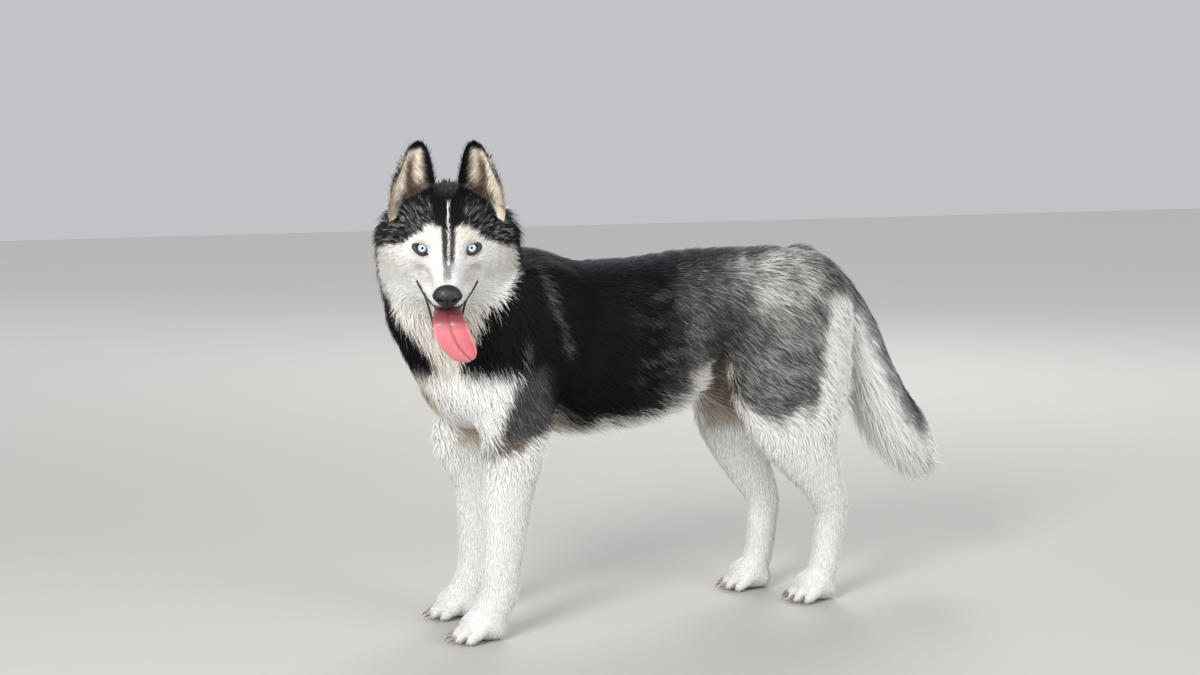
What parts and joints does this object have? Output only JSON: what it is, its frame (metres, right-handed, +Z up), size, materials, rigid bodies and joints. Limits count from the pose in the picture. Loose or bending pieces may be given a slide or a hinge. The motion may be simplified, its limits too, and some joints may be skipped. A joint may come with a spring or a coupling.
{
  "type": "dog figure",
  "caption": "Life-size standing husky dog with thick black, grey and white coat, upright ears, pale eyes, tongue hanging out and head turned to its left.",
  "frame": {"origin": "middle of the bounding box at floor level", "axes": "+Z up, the dog faces -Y, its left side is +X"},
  "size_m": [0.3275, 1.006, 0.7338],
  "materials": {
    "coat_black": "black fur with pale undercoat",
    "coat_white": "white and cream fur",
    "nose_leather": "moist black nose leather",
    "tongue_flesh": "moist pink",
    "eye_glass": "clear glossy pale blue eye",
    "claw_horn": "dark horn"
  },
  "bodies": {
    "root": {"ear_left": "coat_black", "ear_right": "coat_black", "eye_left": "eye_glass", "eye_right": "eye_glass", "foreclaw_left_1": "claw_horn", "foreclaw_left_2": "claw_horn", "foreclaw_left_3": "claw_horn", "foreclaw_left_4": "claw_horn", "foreclaw_right_1": "claw_horn", "foreclaw_right_2": "claw_horn", "foreclaw_right_3": "claw_horn", "foreclaw_right_4": "claw_horn", "foreleg_left": "coat_white", "foreleg_right": "coat_white", "forepaw_left": "coat_white", "forepaw_right": "coat_white", "head": "coat_white", "hindclaw_left_1": "claw_horn", "hindclaw_left_2": "claw_horn", "hindclaw_left_3": "claw_horn", "hindclaw_left_4": "claw_horn", "hindclaw_right_1": "claw_horn", "hindclaw_right_2": "claw_horn", "hindclaw_right_3": "claw_horn", "hindclaw_right_4": "claw_horn", "hindleg_left": "coat_white", "hindleg_right": "coat_white", "hindpaw_left": "coat_white", "hindpaw_right": "coat_white", "neck": "coat_black", "nose": "nose_leather", "tail": "coat_white", "tongue": "tongue_flesh", "torso": "coat_black"}
  },
  "joints": []
}
